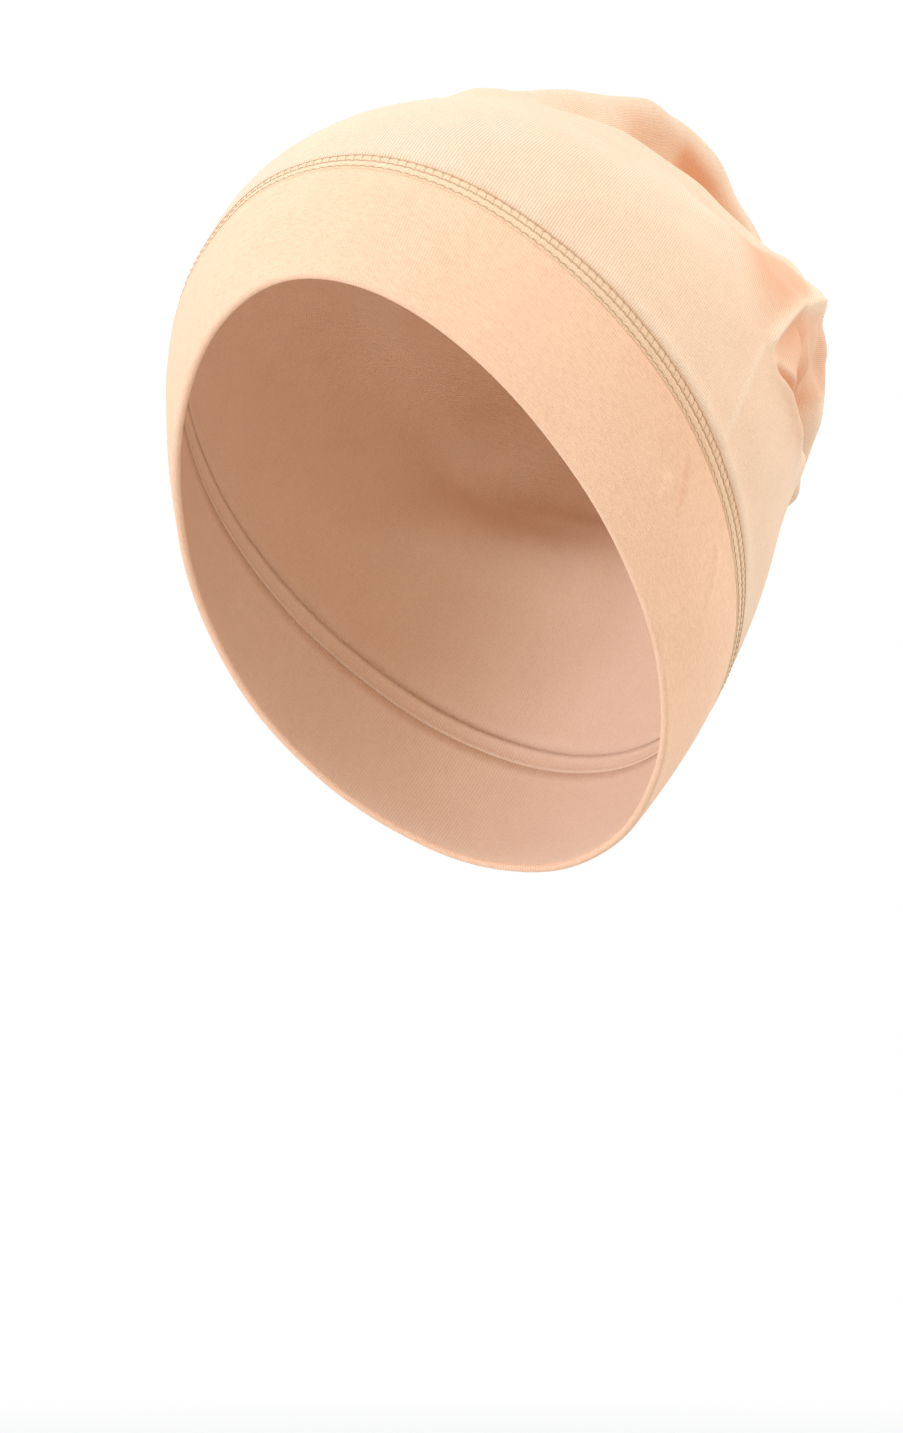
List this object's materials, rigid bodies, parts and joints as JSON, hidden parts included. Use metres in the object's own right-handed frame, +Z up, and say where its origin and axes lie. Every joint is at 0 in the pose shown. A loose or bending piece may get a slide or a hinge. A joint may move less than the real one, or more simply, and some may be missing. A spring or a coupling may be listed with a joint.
{
  "type": "slouch turban cap",
  "caption": "Jersey slouch turban cap with a folded front band, a cover stitched seam and a soft pouch at the back.",
  "frame": {"origin": "where the top of the head touches the inside of the crown", "axes": "+Z up, -Y the way the face looks, +X the wearer's left"},
  "size_m": [0.1717, 0.2228, 0.2221],
  "materials": {
    "band_jersey": "matte fine jersey, peach beige",
    "seam_jersey": "matte jersey pressed flat under stitching, tan",
    "crown_jersey": "matte fine jersey, pale apricot",
    "seam_thread": "matte spun thread, tan brown"
  },
  "bodies": {
    "root": {"front_band": "band_jersey", "cover_seam": "seam_jersey", "crown": "crown_jersey"}
  },
  "joints": []
}
